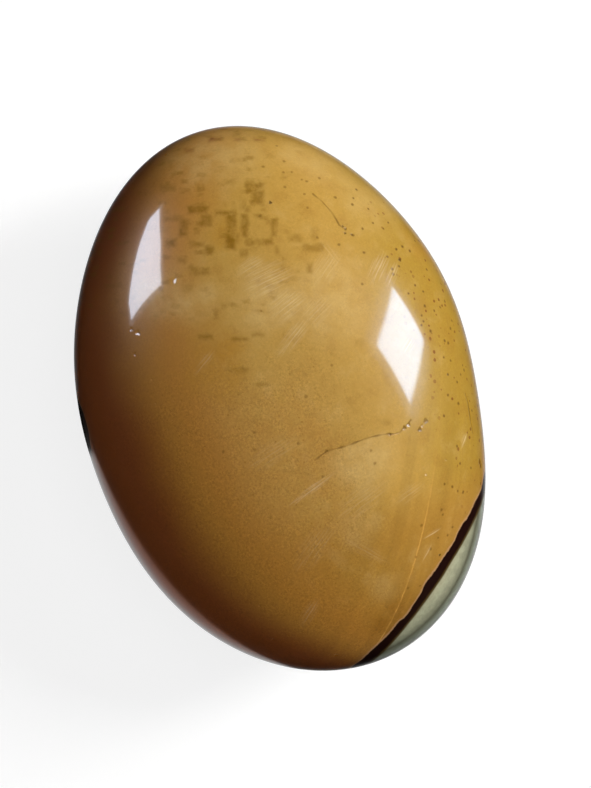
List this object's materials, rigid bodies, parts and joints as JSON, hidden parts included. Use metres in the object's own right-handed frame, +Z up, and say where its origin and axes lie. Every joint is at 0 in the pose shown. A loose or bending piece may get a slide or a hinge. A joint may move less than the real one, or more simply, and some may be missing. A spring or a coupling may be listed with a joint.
{
  "type": "polished pebble",
  "caption": "Plump oval pebble of polished ochre and sage-green jasper with a dark vein, rounded all over and resting on a small flat spot.",
  "frame": {"origin": "under the middle of the pebble's box, on the plane that the flat spot rests on", "axes": "+X along the pebble's length, +Y across its width, +Z up through its thickness, away from the flat spot"},
  "size_m": [0.056, 0.0396, 0.0255],
  "materials": {
    "pebble": "polished"
  },
  "bodies": {
    "root": {"pebble": "pebble"}
  },
  "joints": []
}
